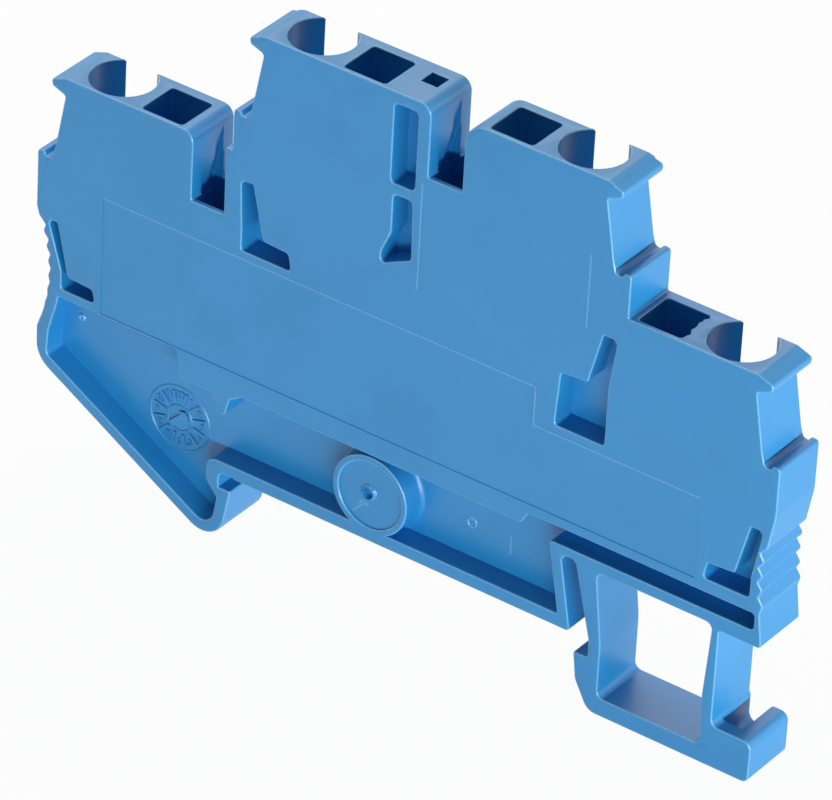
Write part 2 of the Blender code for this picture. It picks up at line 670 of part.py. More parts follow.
def inner_pockets():
    """The two pockets beside the bridge notch of the upper level, and the probe hole behind them."""
    width, rise, neck = INNER_POCKET
    right = NOTCH_RIGHT - RIM - EDGE_RADIUS
    left = right - width
    split = UPPER_TOP - CHAMBER_TOP - FRONT_WALL
    corners = [(left, split + EDGE_RADIUS), (right, split + EDGE_RADIUS),
               (right, UPPER_TOP - RIM), (left, UPPER_TOP - RIM)]
    upper = rounded([(x, z, ROOT_RADIUS) for x, z in corners])
    bottom = UPPER_TOP - CHANNEL_TOP + ROOT_RADIUS
    wall = UPPER_LEFT_X + CHAMBER_INNER + RIM
    lower = rounded([
        (wall, bottom, CORNER_RADIUS),
        (right, bottom + rise, CORNER_RADIUS),
        (right - EDGE_RADIUS, split - FRONT_WALL, ROOT_RADIUS),
        (left + CORNER_RADIUS, split - FRONT_WALL, ROOT_RADIUS),
        (left + CORNER_RADIUS, bottom + neck, RIM),
        (wall, bottom + RIM, RIM),
    ])
    probe_left = (left + right - PROBE_HOLE) / 2 + EDGE_RADIUS
    probe_front = RECESS_FLOOR + RIB / 2
    probe = box("probe_hole", (probe_left, probe_front, UPPER_TOP - CHANNEL_TOP - PIECE_GAP),
                (probe_left + PROBE_HOLE, probe_front + PROBE_HOLE, UPPER_TOP + OVERCUT))
    return [
        prism("upper_inner_pocket", upper, -HALF - OVERCUT, RECESS_FLOOR),
        prism("lower_inner_pocket", lower, -HALF - OVERCUT, RECESS_FLOOR),
        probe,
    ]


def cells():
    """Row of core cells in the open side, with ribs between them."""
    low = LOWER_TOP - CHANNEL_TOP + RIB
    width = (UPPER_RIGHT_X - NOTCH_LEFT_END - (CELL_COUNT + 1) * RIB) / CELL_COUNT
    made = []
    for i in range(CELL_COUNT):
        left = NOTCH_LEFT_END + RIB + i * (width + RIB)
        corners = [(left, low), (left + width, low), (left + width, CELL_TOP), (left, CELL_TOP)]
        outline = rounded([(x, z, CORNER_RADIUS) for x, z in corners])
        made.append(prism(f"cell_{i + 1}", outline, CAVITY_FRONT, HALF + OVERCUT))
    return made


def panel():
    """Shallow panel of the closed face, wide on the left and low on the right."""
    left = LOWER_LEFT_X + PANEL_LEFT_INSET
    step = UPPER_RIGHT_X - PANEL_STEP
    right = LOWER_RIGHT_X - MARKER_INSET
    low = LEFT_LEDGE + EDGE_RADIUS
    corners = [(left, low), (right, low), (right, MARKER_TOP),
               (step, MARKER_TOP), (step, PANEL_TOP), (left, PANEL_TOP)]
    return prism("panel", [Vector(corner) for corner in corners], -HALF - OVERCUT, -HALF + PANEL_DEPTH)


def housing():
    """Moulded housing with everything that is cut from it."""
    cutters = recess_cutters() + foot_cutters() + inner_pockets() + cells() + [panel()]
    cutters.append(level_cavity("lower_cavity", LOWER_LEFT, LOWER_RIGHT))
    cutters.append(level_cavity("upper_cavity", UPPER_LEFT, UPPER_RIGHT))
    for clamp in CLAMPS:
        tear = TEAR if clamp is LOWER_RIGHT else ()
        cutters += [funnel(clamp), driver_shaft(clamp, tear), corner_pocket(clamp)]
    cutters += bridge_cutters("lower_bridge", LOWER_LEFT, NOTCH_LEFT, LOWER_TOP - LOWER_NOTCH)
    cutters += bridge_cutters("upper_bridge", UPPER_LEFT, NOTCH_RIGHT, UPPER_TOP - UPPER_NOTCH)
    finish(prism("housing", housing_outline(), -HALF, HALF), cutters, BLUE_POLYAMIDE)


def current_bar(name, left, right, bridge_x):
    """Bar between two clamps, its ends bent up as contact tabs, with a hole for the bridge."""
    bar = strip(name, [
        at(left, -TAB_REACH, TAB_TOP),
        at(left, -TAB_REACH, BAR_DROP, BAR_BEND),
        at(right, -TAB_REACH, BAR_DROP, BAR_BEND),
        at(right, -TAB_REACH, TAB_TOP),
    ], BAR)
    length, width = BRIDGE_HOLE
    z = left.top - BAR_DROP
    cutters = [box(name + "_hole", (bridge_x - length / 2, STRIP_MIDDLE - width / 2, z - BAR),
                   (bridge_x + length / 2, STRIP_MIDDLE + width / 2, z + BAR))]
    low = left.centre - OVERCUT
    high = right.centre + OVERCUT
    top = left.top - TAB_SHOULDER
    for label, side in (("front", -1), ("back", 1)):
        near = STRIP_MIDDLE + side * TAB_WIDTH / 2
        far = STRIP_MIDDLE + side * (STRIP_WIDTH / 2 + OVERCUT)
        cutters.append(box(f"{name}_{label}_shoulder", (low, min(near, far), top),
                           (high, max(near, far), left.top)))
    finish(bar, cutters, TINNED_COPPER)


def cage_spring(clamp):
    """Cage spring: up beside the tab, round the chamber, and back over the tab with a window."""
    leg = TAB_REACH + BAR / 2 + PIECE_GAP + SPRING / 2
    low = CHANNEL_TOP - SPRING / 2
    spring = strip(clamp.name + "_spring", [
        at(clamp, -leg, SPRING_END),
        at(clamp, -leg, low, SPRING_BEND),
        at(clamp, -SPRING_FAR, low, SPRING_BEND),
        at(clamp, -SPRING_FAR, SPRING_TOP, SPRING_BEND),
        at(clamp, -SPRING_TIP, SPRING_TOP, CORNER_RADIUS),
        at(clamp, -SPRING_TIP + SPRING / 2, SPRING_TOP + SPRING_TIP_DROP),
    ], SPRING)
    near = at(clamp, -(TAB_REACH - BAR / 2 - PIECE_GAP), SPRING_TOP)
    far = at(clamp, -(TAB_REACH + BAR / 2 + PIECE_GAP), SPRING_TOP)
    half = TAB_WIDTH / 2 + PIECE_GAP
    window = box(clamp.name + "_window",
                 (min(near[0], far[0]), STRIP_MIDDLE - half, near[1] - SPRING),
                 (max(near[0], far[0]), STRIP_MIDDLE + half, near[1] + SPRING))
    finish(spring, [window], SPRING_STEEL)


def main():
    for old in list(bpy.data.objects):
        bpy.data.objects.remove(old, do_unlink=True)
    housing()
    current_bar("lower_current_bar", LOWER_LEFT, LOWER_RIGHT, NOTCH_LEFT + BRIDGE_SLOT / 2)
    current_bar("upper_current_bar", UPPER_LEFT, UPPER_RIGHT, NOTCH_RIGHT + BRIDGE_SLOT / 2)
    for clamp in CLAMPS:
        cage_spring(clamp)


main()
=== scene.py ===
import math

import bmesh
import bpy
from mathutils import Matrix, Vector


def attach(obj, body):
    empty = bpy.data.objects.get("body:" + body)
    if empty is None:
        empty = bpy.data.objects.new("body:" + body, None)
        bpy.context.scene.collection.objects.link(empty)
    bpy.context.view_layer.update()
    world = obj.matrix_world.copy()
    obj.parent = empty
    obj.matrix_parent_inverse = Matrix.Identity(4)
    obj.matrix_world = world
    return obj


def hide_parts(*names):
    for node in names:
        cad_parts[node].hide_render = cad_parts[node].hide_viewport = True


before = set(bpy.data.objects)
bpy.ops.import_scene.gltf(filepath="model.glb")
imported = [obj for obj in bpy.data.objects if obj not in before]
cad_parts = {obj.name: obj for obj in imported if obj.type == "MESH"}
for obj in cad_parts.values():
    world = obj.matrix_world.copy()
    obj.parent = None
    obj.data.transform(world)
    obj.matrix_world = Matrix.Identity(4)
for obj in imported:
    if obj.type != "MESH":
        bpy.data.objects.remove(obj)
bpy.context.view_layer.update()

bl_info = {
    "name": "Double level terminal block",
    "version": (1, 0, 0),
    "blender": (4, 5, 0),
    "location": "3D View > Sidebar > Terminal block",
    "description": "Rounded edges, moulded marks, finishes and stage of a double level terminal block",
    "category": "Object",
}

MM = 0.001

# Places on the moulding, in metres
HALF = 0.0026
LOWER_TOP = 0.0295
UPPER_TOP = 0.0404
RECESS_FLOOR = -0.00055
BOSS_DISC_Y = -0.0024
BOSS_DISC_RADIUS = 0.00295
FLOOR_Z = -0.00635
PANEL_STEP = 0.0001

# Where the upper right tower's flat top begins, too near its shaft for the shaft's rounded edge, and the
# small move that clears it
TOP_START = 0.0055
TOP_MOVE = -0.1 * MM

# Flat sides of the moulding: axis, level, and the way into the material
FLAT_SIDES = ((1, -HALF, 1), (1, HALF, -1), (2, LOWER_TOP, -1), (2, UPPER_TOP, -1))

# Turn that lays a piece made on the floor against a face that looks to -Y
AGAINST_FACE = (math.pi / 2, 0, 0)

# Reach within which points are one, lie in a level, or lie at a place
ONE_POINT = 0.001 * MM
IN_LEVEL = 0.002 * MM
AT_PLACE = 0.01 * MM

# Angles between two faces, in degrees: still one plane, an outer edge, a strip's edge, still a curve
PLANE_ANGLE = 0.6
OUTER_ANGLE = 30
STRIP_ANGLE = 50
CURVE_ANGLE = 50

# Share of a face's normal along an axis: the face looks along it, or stands beside it
FACING = 0.9
BESIDE = 0.1

# Strips of sheet: CAD node, name of the dressed piece
BARS = {"lower_current_bar": "lower_bar", "upper_current_bar": "upper_bar"}
SPRINGS = {
    "lower_left_spring": "lower_left_cage",
    "upper_left_spring": "upper_left_cage",
    "upper_right_spring": "upper_right_cage",
    "lower_right_spring": "lower_right_cage",
}

# Date dial: places and widths as shares of its radius, heights as shares of the marks' relief
DIAL_CENTRE = Vector((-0.02288, RECESS_FLOOR, 0.00179))
DIAL_NUMBERS = 12
RIM_WIDTH = 0.09
HUB_RADIUS = 0.42
HUB_WIDTH = 0.08
TICK_START = 0.47
TICK_END = 0.84
TICK_WIDTH = 0.07
TICK_HEIGHT = 1.6
NUMBER_PLACE = 0.72
NUMBER_SIZE = 0.28
NUMBER_HEIGHT = 1.2
ARROW_DEGREES = 47
ARROW_TIP = 0.34
ARROW_TAIL = 0.32
ARROW_WIDTH = 0.16
ARROW_HEIGHT = 2.6
BARB_BACK = 0.2
BARB_OUT = 0.14
BARB_WIDTH = 0.10
BARB_HEIGHT = 2.2

# How much bolder a raised number's strokes are, as a share of its size
NUMBER_BOLD = 0.02

# Torn gate on the boss: radius, way from the disc's centre, its loops' inward steps and rises, unevenness
GATE_RADIUS = 0.00078
GATE_OFFSET = Vector((-0.00015, 0, 0.00015))
GATE_LOOPS = ((0.00014, 0.00020), (0.00012, 0.00004), (0.00016, -0.00050))
GATE_UNEVEN = 0.06 * MM

# How deep a raised ring's foot is sunk into its face
RING_FOOT = 0.02 * MM

# How far the outer edges of a raised line's top are drawn down, as a share of its height
LINE_SLOPE = 0.6

# Width of the fine lines, and their height as a share of the marks' relief
LINE_WIDTH = 0.12 * MM
LINE_HEIGHT = 0.25

# Round marks: name, centre, radius, ridge width, height as a share of the marks' relief
MARKS = (
    ("ejector_mark", (0.0050, RECESS_FLOOR, 0.0042), 0.00050, 0.00020, 0.5),
    ("pip", (-0.03266, RECESS_FLOOR, 0.00708), 0.00036, 0.00032, 1.6),
)

# Fine lines of the mould's joints, of the melt's flow and of the panel's upper outline: depth of their
# face, start and end in X and Z
LINES = (
    (-HALF, (0.00015, 0.0243), (0.00015, 0.0336)),
    (-HALF, (0.0154, 0.0272), (0.0154, 0.0336)),
    (RECESS_FLOOR, (0.00866, 0.0029), (0.00866, 0.0046)),
    (BOSS_DISC_Y, (-0.00356, 0.00338), (-0.00477, 0.00203)),
    (BOSS_DISC_Y, (-0.00384, 0.00338), (-0.00428, 0.00296)),
    (BOSS_DISC_Y, (-0.00338, 0.00330), (-0.00366, 0.00290)),
    (RECESS_FLOOR, (-0.0033, 0.0329), (-0.0033, 0.0374)),
    (RECESS_FLOOR, (-0.0028, 0.0335), (-0.0028, 0.0376)),
    (RECESS_FLOOR, (-0.0027, 0.0275), (-0.0027, 0.0297)),
    (RECESS_FLOOR, (0.0131, 0.0178), (0.0131, 0.0210)),
    (-HALF, (-0.0293, 0.0203), (0.0112, 0.0203)),
    (-HALF, (0.0113, 0.0203), (0.0113, 0.0169)),
    (-HALF, (0.0113, 0.0169), (0.0264, 0.0169)),
)

# Camera of the photograph: angles in degrees, lens and sensor in millimetres, the rest in metres
CAMERA_AZIMUTH = 34.2892
CAMERA_ELEVATION = 33.4588
CAMERA_ROLL = 3.1614
CAMERA_LENS = 332.25
CAMERA_AIM = Vector((-0.001143, 0, 0.012478))
CAMERA_DISTANCE = 0.58194
CAMERA_SENSOR = 36
CAMERA_CLIP = 0.01

# Lamps: name, azimuth and elevation in degrees, distance, width and height in metres, power in watts
LAMPS = (
    ("front_strip", 42, 0, 0.50, 0.40, 0.03, 1.88),
    ("side_strip", 88, 0, 0.50, 0.40, 0.03, 1.62),
    ("back_panel", 160, 0, 0.50, 0.40, 0.30, 0.95),
    ("left_strip", 262, 5, 0.50, 0.40, 0.03, 0.7),
    ("high_panel", 236, 62, 0.50, 0.50, 0.50, 2.0),
)

# Floor of white card: how much light it scatters, and how much of its look is plain white where it is seen
CARD_WHITE = 0.9
CARD_PLAIN = 0.95

# Roughness of the finishes
MOULDED_ROUGH = 0.40
EDGE_ROUGH = 0.28
TIN_ROUGH = 0.30
STEEL_ROUGH = 0.22

# Sizes of the finishes' patterns, in millimetres
CLOUD_SIZE = 9
WAVE_SIZE = 2.4
GRAIN_SIZE = 0.12
BLOOM_SIZE = 1.1
TIN_STREAK = 0.10
STEEL_STREAK = 0.06

# Depths of the finishes' patterns
WAVE_DEPTH = 0.02 * MM
GRAIN_DEPTH = 0.004 * MM
STREAK_DEPTH = 0.003 * MM

# Spread of roughness about its middle, and the wider one of a rolled strip's dull streaks
ROUGH_SPREAD = 0.06
DULL_SPREAD = 0.08

# Polyamide's palest and deepest clouds, and the dull bloom on metal, as shares of the colour
PALE_CLOUD = 1.10
PALE_LIFT = 0.004
DEEP_CLOUD = 0.90
DULL_BLOOM = 0.86

# Scale of a rolled pattern along the strip, against the scale across it
ALONG_STRIP = 0.02


def linear(code):
    """Linear colour of an sRGB hex code."""
    values = [int(code[i:i + 2], 16) / 255 for i in (0, 2, 4)]
    return tuple(v / 12.92 if v <= 0.04045 else ((v + 0.055) / 1.055) ** 2.4 for v in values) + (1.0,)


def add(tree, kind, settings, links):
    """Add a node with its settings and its links."""
    node = tree.nodes.new(kind)
    for key, value in settings.items():
        if isinstance(key, int) or key in node.inputs:
            node.inputs[key].default_value = value
        else:
            setattr(node, key, value)
    for key, (source, output) in links.items():
        tree.links.new(source.outputs[output], node.inputs[key])
    return node


def per_metre(size_mm):
    """Texture scale that makes a pattern's grain this many millimetres."""
    return 1 / (size_mm * MM)


def solo(piece):
    """Select one piece alone and make it active."""
    bpy.ops.object.select_all(action="DESELECT")
    piece.select_set(True)
    bpy.context.view_layer.objects.active = piece


def choose(piece, kind, test):
    """Select in edit mode only the vertices, edges or faces that pass a test."""
    bpy.ops.mesh.select_mode(type=kind)
    bpy.ops.mesh.select_all(action="DESELECT")
    mesh = bmesh.from_edit_mesh(piece.data)
    for part in {"VERT": mesh.verts, "EDGE": mesh.edges, "FACE": mesh.faces}[kind]:
        if test(part):
            part.select_set(True)
    mesh.select_flush_mode()
    bmesh.update_edit_mesh(piece.data)


def merged_copy(node, name):
    """Copy of a CAD node's mesh with its triangles merged into whole faces."""
    piece = bpy.data.objects.new(name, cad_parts[node].data.copy())
    bpy.context.scene.collection.objects.link(piece)
    piece.data.materials.clear()
    solo(piece)
    bpy.ops.mesh.customdata_custom_splitnormals_clear()
    bpy.ops.object.mode_set(mode="EDIT")
    bpy.ops.mesh.select_all(action="SELECT")
    bpy.ops.mesh.remove_doubles(threshold=ONE_POINT)
    bpy.ops.mesh.dissolve_limited(angle_limit=math.radians(PLANE_ANGLE))
    bpy.ops.object.mode_set(mode="OBJECT")
    return piece


def round_edges(piece, test, width, material=-1):
    """Round off the chosen edges of a piece, and give the rounding its own material if one is named."""
    solo(piece)
    bpy.ops.object.mode_set(mode="EDIT")
    choose(piece, "EDGE", test)
    bpy.ops.mesh.bevel(offset=width, segments=2, profile=0.5, affect="EDGES", clamp_overlap=False,
                       loop_slide=False, material=material)
    bpy.ops.object.mode_set(mode="OBJECT")


def lies_in(part, axis, level):
    """True for an edge or face that lies wholly in a plane across an axis."""
    return all(abs(v.co[axis] - level) < IN_LEVEL for v in part.verts)


def clear_shaft(piece):
    """Move the start of the upper right tower's flat top away from the shaft beside it."""
    solo(piece)
    bpy.ops.object.mode_set(mode="EDIT")
    choose(piece, "VERT", lambda vert: abs(vert.co.x - TOP_START) < AT_PLACE
           and abs(vert.co.z - UPPER_TOP) < IN_LEVEL)
    bpy.ops.transform.translate(value=(TOP_MOVE, 0, 0))
    bpy.ops.object.mode_set(mode="OBJECT")


def refill(piece, axis, level):
    """Fill a flat side anew from its outlines, so that no face of it crosses a rounded edge."""
    solo(piece)
    bpy.ops.object.mode_set(mode="EDIT")
    choose(piece, "FACE", lambda face: lies_in(face, axis, level))
    bpy.ops.mesh.delete(type="ONLY_FACE")
    choose(piece, "EDGE", lambda edge: not edge.link_faces)
    bpy.ops.mesh.delete(type="EDGE")
    choose(piece, "EDGE", lambda edge: len(edge.link_faces) == 1 and lies_in(edge, axis, level))
    bpy.ops.mesh.fill(use_beauty=True)
    bpy.ops.object.mode_set(mode="OBJECT")


def smooth(piece):
    """Shade curves smooth and keep the broad faces flat."""
    solo(piece)
    bpy.ops.object.shade_smooth_by_angle(angle=math.radians(CURVE_ANGLE))
    weighted = piece.modifiers.new("flat faces", "WEIGHTED_NORMAL")
    weighted.keep_sharp = True
    bpy.ops.object.modifier_apply(modifier=weighted.name)


def is_outer_edge(edge):
    """True for a sharp convex edge, leaving out the shallow panels' steps."""
    if len(edge.link_faces) != 2 or not edge.is_convex:
        return False
    if edge.calc_face_angle() < math.radians(OUTER_ANGLE):
        return False
    for axis, level, sign in FLAT_SIDES:
        if lies_in(edge, axis, level):
            depths = [sign * (v.co[axis] - level) for face in edge.link_faces for v in face.verts]
            return max(depths) > PANEL_STEP
    return False


def is_sharp(edge):
    """True for a sharp convex edge of a strip."""
    return (len(edge.link_faces) == 2 and edge.is_convex
            and edge.calc_face_angle() > math.radians(STRIP_ANGLE))


def tear_gate(piece):
    """Draw the torn gate out of the boss's face: an uneven rim round a small pit."""
    solo(piece)
    bpy.ops.object.mode_set(mode="EDIT")
    choose(piece, "FACE", lambda face: face.normal.y < -FACING
           and abs(face.calc_center_median().y - BOSS_DISC_Y) < AT_PLACE)
    bpy.ops.mesh.inset(thickness=BOSS_DISC_RADIUS - GATE_RADIUS, depth=0)
    bpy.ops.transform.translate(value=GATE_OFFSET)
    for seed, (step, rise) in enumerate(GATE_LOOPS):
        bpy.ops.mesh.inset(thickness=step, depth=rise)
        bpy.ops.transform.vertex_random(offset=GATE_UNEVEN, seed=seed)
    bpy.ops.object.mode_set(mode="OBJECT")


def dress(piece, nodes=()):
    """Give a finished piece its body and the CAD nodes it stands for."""
    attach(piece, "root")
    if nodes:
        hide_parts(*nodes)


def ridge_ring(name, centre, radius, width, height):
    """Raised ring on a face that looks to -Y: a flat cylinder with a slope up, a top and a slope down."""
    step = width / 3
    rise = height + RING_FOOT / 2
    bpy.ops.object.select_all(action="DESELECT")
    bpy.ops.mesh.primitive_cylinder_add(
        vertices=64, radius=radius, depth=RING_FOOT, rotation=AGAINST_FACE,
        location=Vector(centre) + Vector((0, RING_FOOT, 0)))
    ring = bpy.context.object
    ring.name = name
    bpy.ops.object.transform_apply(location=True, rotation=True, scale=True)
    bpy.ops.object.mode_set(mode="EDIT")
    choose(ring, "FACE", lambda face: face.normal.y < -FACING)
    bpy.ops.mesh.inset(thickness=step, depth=rise)
    bpy.ops.mesh.inset(thickness=step, depth=0)
    bpy.ops.mesh.inset(thickness=step, depth=-rise)
    bpy.ops.object.mode_set(mode="OBJECT")
    return ring


def touches_side(vert):
    """True for a corner of a bar's top that also belongs to one of its sides."""
    return len(vert.link_edges) == 3 and any(abs(face.normal.y) < BESIDE for face in vert.link_faces)


def ridge_line(name, start, end, width, height):
    """Raised line between two points of a face that looks to -Y: a bar with a narrow top and sloped sides."""
    start, end = Vector(start), Vector(end)
    run = end - start
    bpy.ops.object.select_all(action="DESELECT")
    bpy.ops.mesh.primitive_cube_add(
        size=1, location=(start + end) / 2, rotation=(0, -math.atan2(run.z, run.x), 0),
        scale=(run.length, 2 * height, width))
    line = bpy.context.object
    line.name = name
    bpy.ops.object.transform_apply(location=True, rotation=True, scale=True)
    bpy.ops.object.mode_set(mode="EDIT")
    choose(line, "FACE", lambda face: face.normal.y < -FACING)
    bpy.ops.mesh.inset(thickness=width / 4, depth=0)
    choose(line, "EDGE", lambda edge: all(v.co.y < start.y and touches_side(v) for v in edge.verts))
    bpy.ops.transform.translate(value=(0, height * LINE_SLOPE, 0))
    bpy.ops.object.mode_set(mode="OBJECT")
    return line


def plain_number(text, centre, size, height):
    """Raised number on a face that looks to -Y, from a text made into a mesh."""
    bpy.ops.object.select_all(action="DESELECT")
    bpy.ops.object.text_add(location=centre, rotation=AGAINST_FACE)
    number = bpy.context.object
    number.data.body = text
    number.data.size = size
    number.data.extrude = height
    number.data.offset = NUMBER_BOLD * size
    number.data.align_x = "CENTER"
    number.data.align_y = "CENTER"
    number.data.resolution_u = 3
    bpy.ops.object.convert(target="MESH")
    bpy.ops.object.transform_apply(location=True, rotation=True, scale=True)
    return bpy.context.object


def joined(parts, name):
    """One piece of several parts."""
    bpy.ops.object.select_all(action="DESELECT")
    for part in parts:
        part.select_set(True)
    bpy.context.view_layer.objects.active = parts[0]
    bpy.ops.object.join()
    parts[0].name = name
    return parts[0]


def paint(piece, *materials):
    """Put these materials on a piece in place of its own."""
    piece.data.materials.clear()
    for material in materials:
        piece.data.materials.append(material)


def polyamide(name, colour, rough):
    """Blue polyamide 66, injection moulded in a fine spark-eroded tool.

    The eye sees a satin blue, a little cloudy and finely grained. The paler copy made for the rounded
    edges and raised marks is a painted highlight, and it is also glossier.
    """
    found = bpy.data.materials.get(name)
    if found:
        return found
    material = bpy.data.materials.new(name)
    material.use_nodes = True
    tree = material.node_tree
    shader = tree.nodes["Principled BSDF"]
    place = add(tree, "ShaderNodeTexCoord", {}, {})
    # Clouds of colour where the melt flowed
    clouds = add(tree, "ShaderNodeTexNoise", {"Scale": per_metre(CLOUD_SIZE), "Detail": 3, "Roughness": 0.55},
                 {"Vector": (place, "Object")})
    paler = tuple(min(1, PALE_CLOUD * c + PALE_LIFT) for c in colour[:3]) + (1,)
    deeper = tuple(DEEP_CLOUD * c for c in colour[:3]) + (1,)
    tint = add(tree, "ShaderNodeMix", {"data_type": "RGBA", 6: deeper, 7: paler}, {0: (clouds, "Fac")})
    tree.links.new(tint.outputs[2], shader.inputs["Base Color"])
    # Grain of the spark-eroded tool, finer than this on the real block and drawn coarser to show
    grain = add(tree, "ShaderNodeTexNoise", {"Scale": per_metre(GRAIN_SIZE), "Detail": 2, "Roughness": 0.6},
                {"Vector": (place, "Object")})
    gloss = add(tree, "ShaderNodeMapRange", {"To Min": rough - ROUGH_SPREAD, "To Max": rough + ROUGH_SPREAD},
                {"Value": (grain, "Fac")})
    tree.links.new(gloss.outputs["Result"], shader.inputs["Roughness"])
    # Faint waves where the wall shrank over the ribs
    waves = add(tree, "ShaderNodeTexNoise", {"Scale": per_metre(WAVE_SIZE), "Detail": 1},
                {"Vector": (place, "Object")})
    wavy = add(tree, "ShaderNodeBump", {"Strength": 0.35, "Distance": WAVE_DEPTH}, {"Height": (waves, "Fac")})
    bump = add(tree, "ShaderNodeBump", {"Strength": 0.25, "Distance": GRAIN_DEPTH},
               {"Height": (grain, "Fac"), "Normal": (wavy, "Normal")})
    tree.links.new(bump.outputs["Normal"], shader.inputs["Normal"])
    shader.inputs["IOR"].default_value = 1.53
    shader.inputs["Specular IOR Level"].default_value = 0.75
    return material


def metal(name, colour, rough, streak):
    """Rolled metal strip: copper plated with tin for the bars, bright spring steel for the cages.

    The eye sees a bright metal with streaks along the strip from the rolls, and a faint dull bloom.
    """
    found = bpy.data.materials.get(name)
    if found:
        return found
    material = bpy.data.materials.new(name)
    material.use_nodes = True
    tree = material.node_tree
    shader = tree.nodes["Principled BSDF"]
    shader.inputs["Metallic"].default_value = 1
    place = add(tree, "ShaderNodeTexCoord", {}, {})
    # Streaks of the rolls, finer than this on real strip and drawn coarser to show
    along = add(tree, "ShaderNodeMapping", {"Scale": (ALONG_STRIP, 1, ALONG_STRIP)},
                {"Vector": (place, "Object")})
    lines = add(tree, "ShaderNodeTexNoise", {"Scale": per_metre(streak), "Detail": 3},
                {"Vector": (along, "Vector")})
    bloom = add(tree, "ShaderNodeTexNoise", {"Scale": per_metre(BLOOM_SIZE), "Detail": 3},
                {"Vector": (place, "Object")})
    duller = tuple(DULL_BLOOM * c for c in colour[:3]) + (1,)
    tint = add(tree, "ShaderNodeMix", {"data_type": "RGBA", 6: duller, 7: colour}, {0: (bloom, "Fac")})
    tree.links.new(tint.outputs[2], shader.inputs["Base Color"])
    gloss = add(tree, "ShaderNodeMapRange", {"To Min": rough - ROUGH_SPREAD, "To Max": rough + DULL_SPREAD},
                {"Value": (lines, "Fac")})
    tree.links.new(gloss.outputs["Result"], shader.inputs["Roughness"])
    bump = add(tree, "ShaderNodeBump", {"Strength": 0.3, "Distance": STREAK_DEPTH},
               {"Height": (lines, "Fac")})
    tree.links.new(bump.outputs["Normal"], shader.inputs["Normal"])
    return material


def seen_directly(tree):
    """Value that is 1 for what the camera sees, straight or in a glossy face, and 0 for light."""
    path = add(tree, "ShaderNodeLightPath", {}, {})
    straight = add(tree, "ShaderNodeMath", {"operation": "MAXIMUM"},
                   {0: (path, "Is Camera Ray"), 1: (path, "Is Glossy Ray")})
    return add(tree, "ShaderNodeMath", {"operation": "MAXIMUM"},
               {0: (straight, "Value"), 1: (path, "Is Transmission Ray")})


def direction(azimuth, elevation):
    """Unit vector from the block towards an azimuth and an elevation in degrees."""
    a, e = math.radians(azimuth), math.radians(elevation)
    return Vector((math.sin(a) * math.cos(e), -math.cos(a) * math.cos(e), math.sin(e)))


class BlockSizes(bpy.types.PropertyGroup):
    """Sizes of the roundings and marks"""
    edge: bpy.props.FloatProperty(
        name="Edge", description="Rounding of the housing's outer edges",
        default=0.10 * MM, min=0, unit="LENGTH", precision=5)
    strip_edge: bpy.props.FloatProperty(
        name="Strip edge", description="Rounding of the metal strips' edges",
        default=0.05 * MM, min=0, unit="LENGTH", precision=5)
    relief: bpy.props.FloatProperty(
        name="Relief", description="How far moulded marks stand out of the face",
        default=0.09 * MM, min=0, unit="LENGTH", precision=5)
    dial: bpy.props.FloatProperty(
        name="Dial", description="Radius of the date dial",
        default=3.0 * MM, min=0, unit="LENGTH", precision=5)


class BlockColours(bpy.types.PropertyGroup):
    """Colours of the plastic and the metals"""
    polyamide: bpy.props.FloatVectorProperty(
        name="Polyamide", description="Colour of the housing",
        default=linear("1A87C5"), size=4, min=0, max=1, subtype="COLOR")
    # Paler blue of the rounded edges and raised marks: a painted highlight
    edge: bpy.props.FloatVectorProperty(
        name="Edge", description="Colour of the housing's thin edges",
        default=linear("5AA5D8"), size=4, min=0, max=1, subtype="COLOR")
    tin: bpy.props.FloatVectorProperty(
        name="Tin", description="Colour of the tin plated bars",
        default=linear("D2CFC8"), size=4, min=0, max=1, subtype="COLOR")
    steel: bpy.props.FloatVectorProperty(
        name="Steel", description="Colour of the springs",
        default=linear("C3C5C8"), size=4, min=0, max=1, subtype="COLOR")


class StageSettings(bpy.types.PropertyGroup):
    """Size of the floor and strength of the light"""
    floor: bpy.props.FloatProperty(
        name="Floor", description="Side of the square floor", default=3, min=0.1, unit="LENGTH")
    sky: bpy.props.FloatProperty(
        name="Sky", description="Strength of the light from all round", default=0.03, min=0)
    lamps: bpy.props.FloatProperty(
        name="Lamps", description="Factor on the power of every lamp", default=1, min=0)


class TERMINAL_OT_housing(bpy.types.Operator):
    """Round the edges of the moulded housing and give it its polyamide"""
    bl_idname = "terminal.housing"
    bl_label = "Moulded housing"

    def execute(self, context):
        colours = context.scene.block_colours
        piece = merged_copy("housing", "moulded_housing")
        paint(piece, polyamide("polyamide_66_moulded", colours.polyamide, MOULDED_ROUGH),
              polyamide("polyamide_66_edge_highlight", colours.edge, EDGE_ROUGH))
        clear_shaft(piece)
        # The roundings take the second material, whose paler colour is a painted highlight along the edges
        round_edges(piece, is_outer_edge, context.scene.block_sizes.edge, 1)
        for axis, level, _ in FLAT_SIDES:
            refill(piece, axis, level)
        tear_gate(piece)
        smooth(piece)
        dress(piece, ["housing"])
        return {"FINISHED"}


